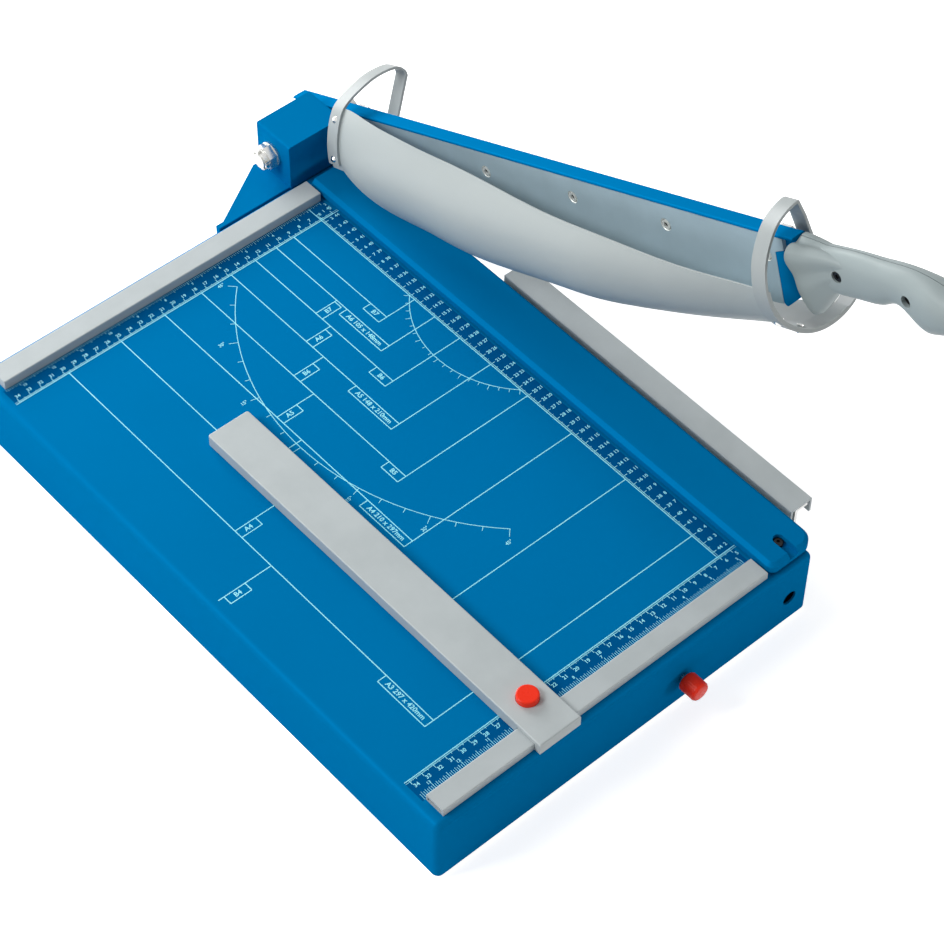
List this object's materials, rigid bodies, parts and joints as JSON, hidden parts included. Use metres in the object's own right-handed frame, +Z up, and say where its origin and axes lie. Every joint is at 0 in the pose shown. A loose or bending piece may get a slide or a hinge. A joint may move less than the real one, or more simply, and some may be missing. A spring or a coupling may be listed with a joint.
{
  "type": "lever paper trimmer",
  "caption": "Desktop lever paper trimmer: steel table with two fences, raised blade lever with a rolling finger guard, clamp bar, sliding backstop and strip gauge.",
  "frame": {"origin": "centre of the table's footprint, on the desk under the rubber feet", "axes": "+X across the table towards the cutting edge, +Y from the user towards the lever pivot, +Z up"},
  "size_m": [0.4021, 0.6709, 0.3632],
  "materials": {
    "blue_paint": "semi-gloss baked enamel, fine orange-peel",
    "grey_paint": "satin grey enamel",
    "grey_aluminium": "satin anodised, drawn along its length",
    "grey_plastic": "fine satin moulded",
    "red_plastic": "glossy moulded",
    "black_plastic": "matte moulded",
    "blade_steel": "ground and lightly oiled",
    "zinc_steel": "bright zinc plated",
    "zinc_sheet": "galvanised sheet",
    "black_steel": "black oxide",
    "spring_steel": "drawn wire",
    "brass": "turned",
    "black_rubber": "matte"
  },
  "bodies": {
    "base": {"table_body": "blue_paint", "base_plate": "zinc_sheet", "base_plate_screws": "zinc_steel", "rubber_feet": "black_rubber", "counter_blade": "blade_steel", "counter_blade_screws": "zinc_steel", "counter_blade_nuts": "zinc_steel", "back_fence": "grey_aluminium", "back_fence_screws": "zinc_steel", "front_fence": "grey_aluminium", "front_fence_screws": "zinc_steel", "pivot_bracket": "blue_paint", "bracket_screws": "zinc_steel", "bracket_nuts": "zinc_steel", "pivot_bolt": "zinc_steel", "pivot_washers": "zinc_steel", "pivot_spacer": "zinc_steel", "pivot_nut": "zinc_steel", "pivot_lock_nut": "zinc_steel", "clamp_guide_bushes": "brass", "clamp_spring_seats": "zinc_sheet", "clamp_springs": "spring_steel", "rod_bushes": "black_plastic", "rod_guides": "zinc_sheet", "stud_nut": "zinc_steel"},
    "lever": {"lever_arm": "blue_paint", "pivot_bush": "brass", "upper_blade": "blade_steel", "blade_screws": "zinc_steel", "handle_left_shell": "grey_plastic", "handle_right_shell": "grey_plastic", "handle_screws": "black_steel", "guard_lugs": "zinc_steel", "lug_screws": "zinc_steel", "guard_rod": "zinc_steel", "rod_clips": "spring_steel"},
    "guard": {"guard_shell": "grey_paint", "guard_rear_hoop": "grey_paint", "guard_front_hoop": "grey_paint", "guard_rivets": "zinc_steel"},
    "clamp": {"clamp_bar": "blue_paint", "clamp_posts": "zinc_steel", "clamp_screw": "zinc_steel"},
    "backstop": {"backstop_bar": "grey_aluminium", "backstop_head": "grey_plastic", "backstop_screws": "zinc_steel", "button_cover": "grey_plastic", "button_spring": "spring_steel"},
    "release_button": {"release_button": "red_plastic"},
    "gauge": {"strip_gauge": "grey_aluminium", "gauge_legs": "zinc_steel", "gauge_nuts": "zinc_steel", "gauge_rods": "zinc_steel"},
    "knob": {"clamp_knob": "red_plastic", "knob_stud": "zinc_steel"}
  },
  "joints": [
    {"name": "lever_pivot", "type": "hinge", "parent": "base", "child": "lever", "pos_m": [0.18, 0.2755, 0.085], "axis": [-1, 0, 0], "range_deg": [-25, 0]},
    {"name": "guard_roll", "type": "hinge", "parent": "lever", "child": "guard", "pos_m": [0.1995, 0.27043, 0.07412], "axis": [0, -0.9063, 0.4226], "range_deg": [-125, 0]},
    {"name": "clamp_press", "type": "slide", "parent": "base", "child": "clamp", "axis": [0, 0, 1], "range_m": [-0.0032, 0], "stiffness_N_per_m": 500, "springref_m": 0.004, "deforming": ["clamp_springs"]},
    {"name": "backstop_slide", "type": "slide", "parent": "base", "child": "backstop", "axis": [1, 0, 0], "range_m": [-0.075, 0.175]},
    {"name": "button_press", "type": "slide", "parent": "backstop", "child": "release_button", "axis": [0, 0, 1], "range_m": [-0.002, 0], "stiffness_N_per_m": 400, "springref_m": 0.003, "deforming": ["button_spring"]},
    {"name": "gauge_slide", "type": "slide", "parent": "base", "child": "gauge", "axis": [1, 0, 0], "range_m": [0, 0.05]},
    {"name": "knob_turn", "type": "hinge", "parent": "base", "child": "knob", "pos_m": [0.0491, -0.2565, 0.029], "axis": [0, -1, 0], "range_deg": [0, 360]}
  ],
  "couplings": [
    {"joint": "guard_roll", "follows": "lever_pivot", "ratio": 5},
    {"joint": "clamp_press", "follows": "lever_pivot", "m_per_rad": 0.0073339}
  ]
}
